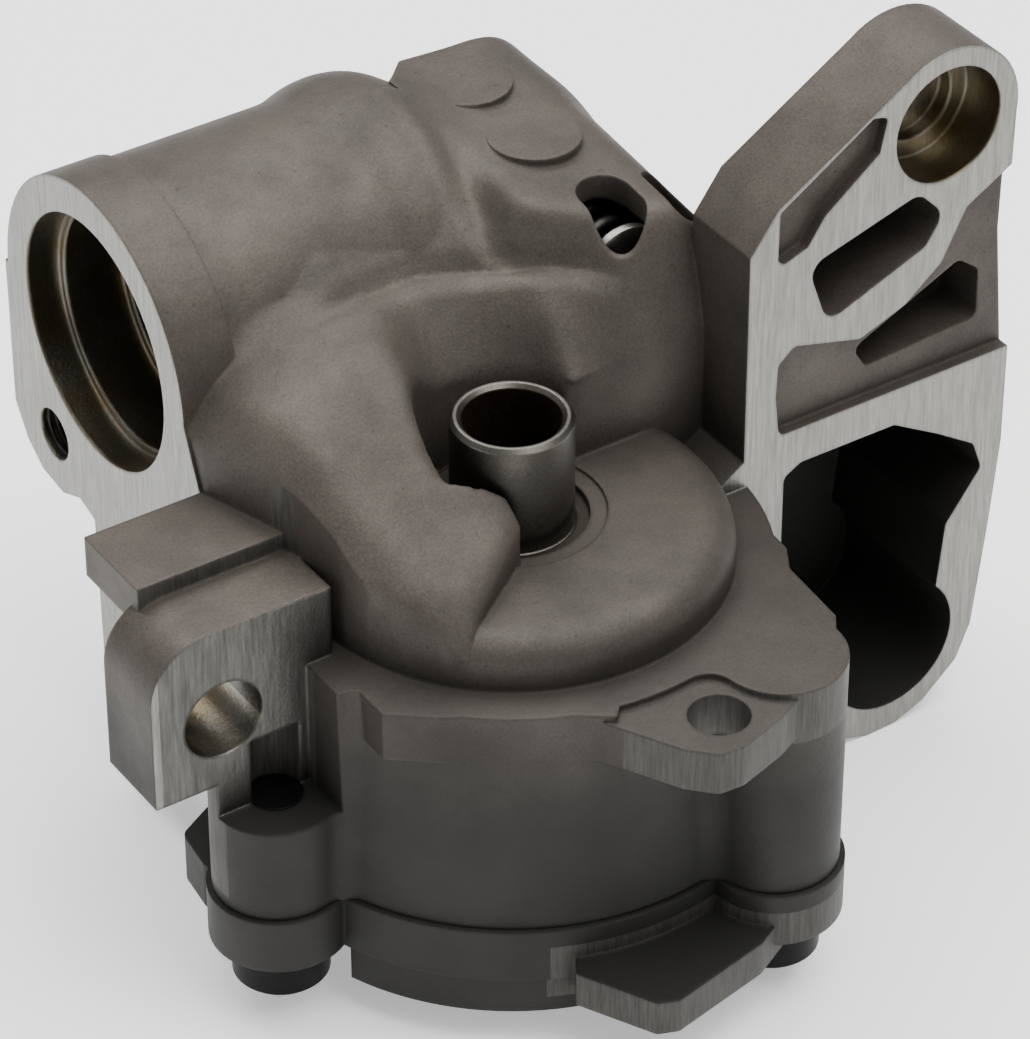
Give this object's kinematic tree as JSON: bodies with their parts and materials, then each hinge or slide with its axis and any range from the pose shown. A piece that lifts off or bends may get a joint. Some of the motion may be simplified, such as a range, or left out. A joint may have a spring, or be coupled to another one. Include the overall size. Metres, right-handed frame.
{
  "type": "engine oil pump",
  "caption": "Internal-gear engine oil pump in a cast housing with a pressure port, a bracket with the suction port, and a spring-loaded relief valve.",
  "frame": {"origin": "on the drive shaft's axis, in the machined spot face round the shaft", "axes": "+Z along the drive shaft, out of its free end; +X towards the bracket, away from the pressure port's mouth; the bracket's machined face looks along -Y"},
  "size_m": [0.1486, 0.1292, 0.1213],
  "materials": {
    "cast_aluminium": "blasted casting with machined faces",
    "black_steel": "black oxide",
    "turned_steel": "turned",
    "sintered_steel": "sintered, ground faces",
    "spring_steel": "drawn wire",
    "bronze": "bearing bronze",
    "seal_rubber": "moulded"
  },
  "bodies": {
    "housing": {"pump_housing": "cast_aluminium", "pump_cover": "cast_aluminium", "cover_bolt_left": "black_steel", "cover_bolt_right": "black_steel", "cover_bolt_rear": "black_steel", "cover_bolt_rear_left": "black_steel", "dowel_left": "turned_steel", "dowel_right": "turned_steel", "upper_bush": "bronze", "lower_bush": "bronze", "relief_spring": "spring_steel", "spring_seat": "turned_steel", "relief_plug": "turned_steel", "plug_seal": "seal_rubber"},
    "shaft": {"drive_shaft": "turned_steel", "inner_rotor": "sintered_steel", "rotor_key": "turned_steel", "retaining_ring": "spring_steel"},
    "ring": {"outer_rotor": "sintered_steel"},
    "valve": {"relief_piston": "turned_steel"}
  },
  "joints": [
    {"name": "shaft_spin", "type": "hinge", "parent": "housing", "child": "shaft", "pos_m": [0, 0, -0.03], "axis": [0, 0, 1], "continuous": true},
    {"name": "outer_rotor_spin", "type": "hinge", "parent": "housing", "child": "ring", "pos_m": [0, -0.0028, -0.0335], "axis": [0, 0, 1], "continuous": true},
    {"name": "relief_slide", "type": "slide", "parent": "housing", "child": "valve", "axis": [0, -1, 0], "range_m": [0, 0.009], "stiffness_N_per_m": 6000, "springref_m": -0.008, "deforming": ["relief_spring"]}
  ],
  "couplings": [
    {"joint": "outer_rotor_spin", "follows": "shaft_spin", "ratio": 0.85714}
  ]
}
